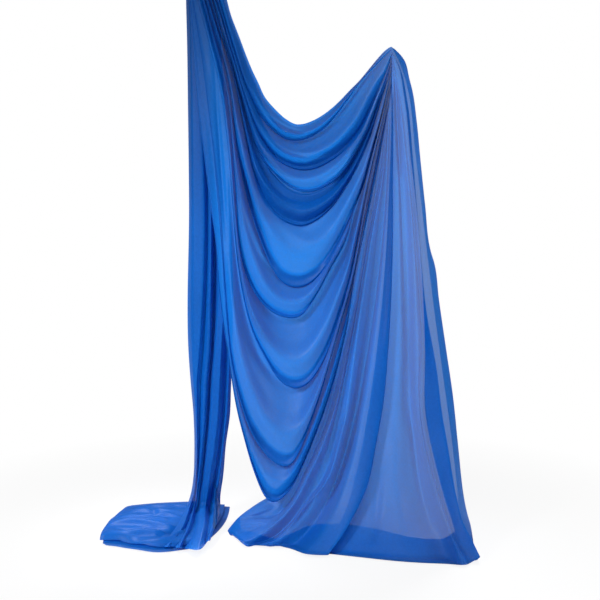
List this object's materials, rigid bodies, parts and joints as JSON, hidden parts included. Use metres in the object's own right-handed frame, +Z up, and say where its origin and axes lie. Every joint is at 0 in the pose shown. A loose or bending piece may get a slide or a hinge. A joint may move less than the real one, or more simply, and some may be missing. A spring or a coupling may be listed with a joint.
{
  "type": "aerial silks",
  "caption": "Doubled length of blue nylon tricot on a figure-eight descender, swivel and screwgate carabiners, one tail in a column, the other swept aside in a swag.",
  "frame": {"origin": "inside the crown of the upper carabiner, where the anchor bears", "axes": "+Z up along the hanging line, +X towards the side the right tail is swept to, -Y towards the viewer"},
  "size_m": [1.6382, 0.8008, 3.261],
  "materials": {
    "steel": "zinc-plated forged steel, satin",
    "black_steel": "black oxide on a knurled sleeve",
    "bearing_steel": "ground bearing steel",
    "aluminium": "grey anodised aluminium",
    "tricot": "royal blue low-stretch nylon tricot, semi-sheer with a soft sheen"
  },
  "bodies": {
    "anchor_carabiner": {"anchor_carabiner_body": "steel", "anchor_carabiner_hinge_pin": "bearing_steel"},
    "anchor_gate": {"anchor_carabiner_gate": "steel", "anchor_carabiner_latch_pin": "bearing_steel", "anchor_carabiner_gate_plunger": "bearing_steel", "anchor_carabiner_gate_spring": "bearing_steel"},
    "anchor_sleeve": {"anchor_carabiner_sleeve": "black_steel"},
    "swivel_top": {"swivel_upper_eye": "steel", "swivel_housing": "aluminium", "swivel_lower_race": "bearing_steel"},
    "swivel_balls": {"swivel_ball_cage": "bearing_steel", "swivel_ball_1": "bearing_steel", "swivel_ball_2": "bearing_steel", "swivel_ball_3": "bearing_steel", "swivel_ball_4": "bearing_steel", "swivel_ball_5": "bearing_steel", "swivel_ball_6": "bearing_steel", "swivel_ball_7": "bearing_steel", "swivel_ball_8": "bearing_steel"},
    "swivel_bottom": {"swivel_stem_eye": "steel", "swivel_stem_nut": "bearing_steel", "swivel_upper_race": "bearing_steel"},
    "lower_carabiner": {"lower_carabiner_body": "steel", "lower_carabiner_hinge_pin": "bearing_steel"},
    "lower_gate": {"lower_carabiner_gate": "steel", "lower_carabiner_latch_pin": "bearing_steel", "lower_carabiner_gate_plunger": "bearing_steel", "lower_carabiner_gate_spring": "bearing_steel"},
    "lower_sleeve": {"lower_carabiner_sleeve": "black_steel"},
    "silks": {"figure_eight": "aluminium", "silk_hitch": "tricot", "left_tail": "tricot", "left_tail_pile": "tricot", "right_tail_swag": "tricot", "right_tail_curtain": "tricot", "right_tail_pool": "tricot"}
  },
  "joints": [
    {"name": "anchor_gate_hinge", "type": "hinge", "parent": "anchor_carabiner", "child": "anchor_gate", "pos_m": [0.0255, 0, -0.06], "axis": [0, -1, 0], "range_deg": [0, 30], "stiffness_Nm_per_rad": 0.25, "springref_deg": -14.32},
    {"name": "anchor_sleeve_screw", "type": "slide", "parent": "anchor_gate", "child": "anchor_sleeve", "axis": [0, 0, 1], "range_m": [0, 0.0135]},
    {"name": "swivel_swing", "type": "hinge", "parent": "anchor_carabiner", "child": "swivel_top", "pos_m": [0, 0, -0.0955], "axis": [1, 0, 0], "range_deg": [-40, 40]},
    {"name": "swivel_spin", "type": "hinge", "parent": "swivel_top", "child": "swivel_bottom", "pos_m": [0, 0, -0.152], "axis": [0, 0, 1], "continuous": true},
    {"name": "swivel_ball_roll", "type": "hinge", "parent": "swivel_top", "child": "swivel_balls", "pos_m": [0, 0, -0.1429], "axis": [0, 0, 1], "continuous": true},
    {"name": "carabiner_swing", "type": "hinge", "parent": "swivel_bottom", "child": "lower_carabiner", "pos_m": [0, 0, -0.2055], "axis": [1, 0, 0], "range_deg": [-40, 40]},
    {"name": "lower_gate_hinge", "type": "hinge", "parent": "lower_carabiner", "child": "lower_gate", "pos_m": [0.0255, 0, -0.271], "axis": [0, -1, 0], "range_deg": [0, 30], "stiffness_Nm_per_rad": 0.25, "springref_deg": -14.32},
    {"name": "lower_sleeve_screw", "type": "slide", "parent": "lower_gate", "child": "lower_sleeve", "axis": [0, 0, 1], "range_m": [0, 0.0135]},
    {"name": "figure_eight_swing", "type": "hinge", "parent": "lower_carabiner", "child": "silks", "pos_m": [0, 0, -0.3065], "axis": [1, 0, 0], "range_deg": [-40, 40]}
  ],
  "couplings": [
    {"joint": "swivel_ball_roll", "follows": "swivel_spin", "ratio": 0.5}
  ]
}
